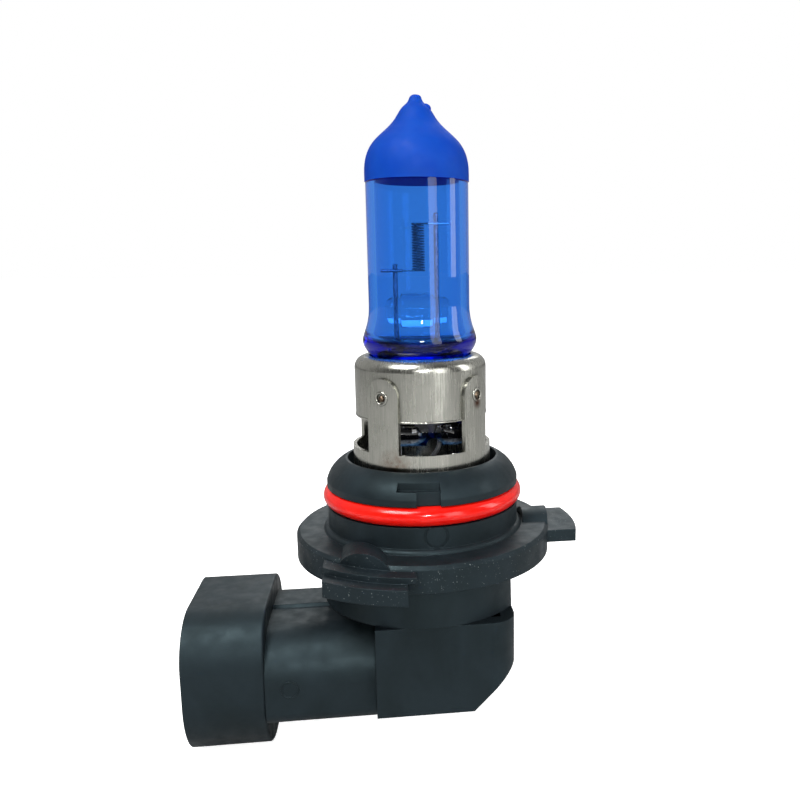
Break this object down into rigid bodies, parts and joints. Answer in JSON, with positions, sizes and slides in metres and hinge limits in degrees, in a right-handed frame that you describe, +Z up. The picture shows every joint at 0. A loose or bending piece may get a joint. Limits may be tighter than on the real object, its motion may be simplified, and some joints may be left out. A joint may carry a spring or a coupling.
{
  "type": "headlight bulb",
  "caption": "Single-filament halogen headlamp bulb: blue glass capsule in a sheet-metal holder on a black lugged base with a red O-ring and a right-angle connector.",
  "frame": {"origin": "centre of the flange's upper face, the reference plane that seats in the lamp", "axes": "+Z up the bulb axis to the glass tip, -X along the connector to its mouth"},
  "size_m": [0.044, 0.0352, 0.072],
  "materials": {
    "blue_glass": "clear blue lacquered quartz glass, glossy",
    "blue_coat": "opaque blue dip coat, satin gloss",
    "clear_glass": "clear quartz glass",
    "tungsten": "drawn tungsten wire, dark satin",
    "molybdenum": "bright drawn wire and foil",
    "holder_steel": "stamped and spot-welded stainless sheet, satin",
    "seal_rubber": "glossy red silicone rubber",
    "potting": "cast dark sealing compound",
    "black_plastic": "black glass-filled moulding, fine grain",
    "terminal_brass": "stamped brass, satin"
  },
  "bodies": {
    "root": {"glass_envelope": "blue_glass", "tip_coating": "blue_coat", "glass_bridge": "clear_glass", "filament": "tungsten", "upper_filament_clamp": "molybdenum", "lower_filament_clamp": "molybdenum", "long_support_wire": "molybdenum", "short_support_wire": "molybdenum", "moly_foil_left": "molybdenum", "moly_foil_right": "molybdenum", "outer_lead_left": "molybdenum", "outer_lead_right": "molybdenum", "holder_cup": "holder_steel", "holder_ring": "holder_steel", "pinch_clip": "holder_steel", "o_ring": "seal_rubber", "base_seal": "potting", "lamp_base": "black_plastic", "connector_housing": "black_plastic", "end_cover": "black_plastic", "terminal_left": "terminal_brass", "terminal_right": "terminal_brass"}
  },
  "joints": []
}
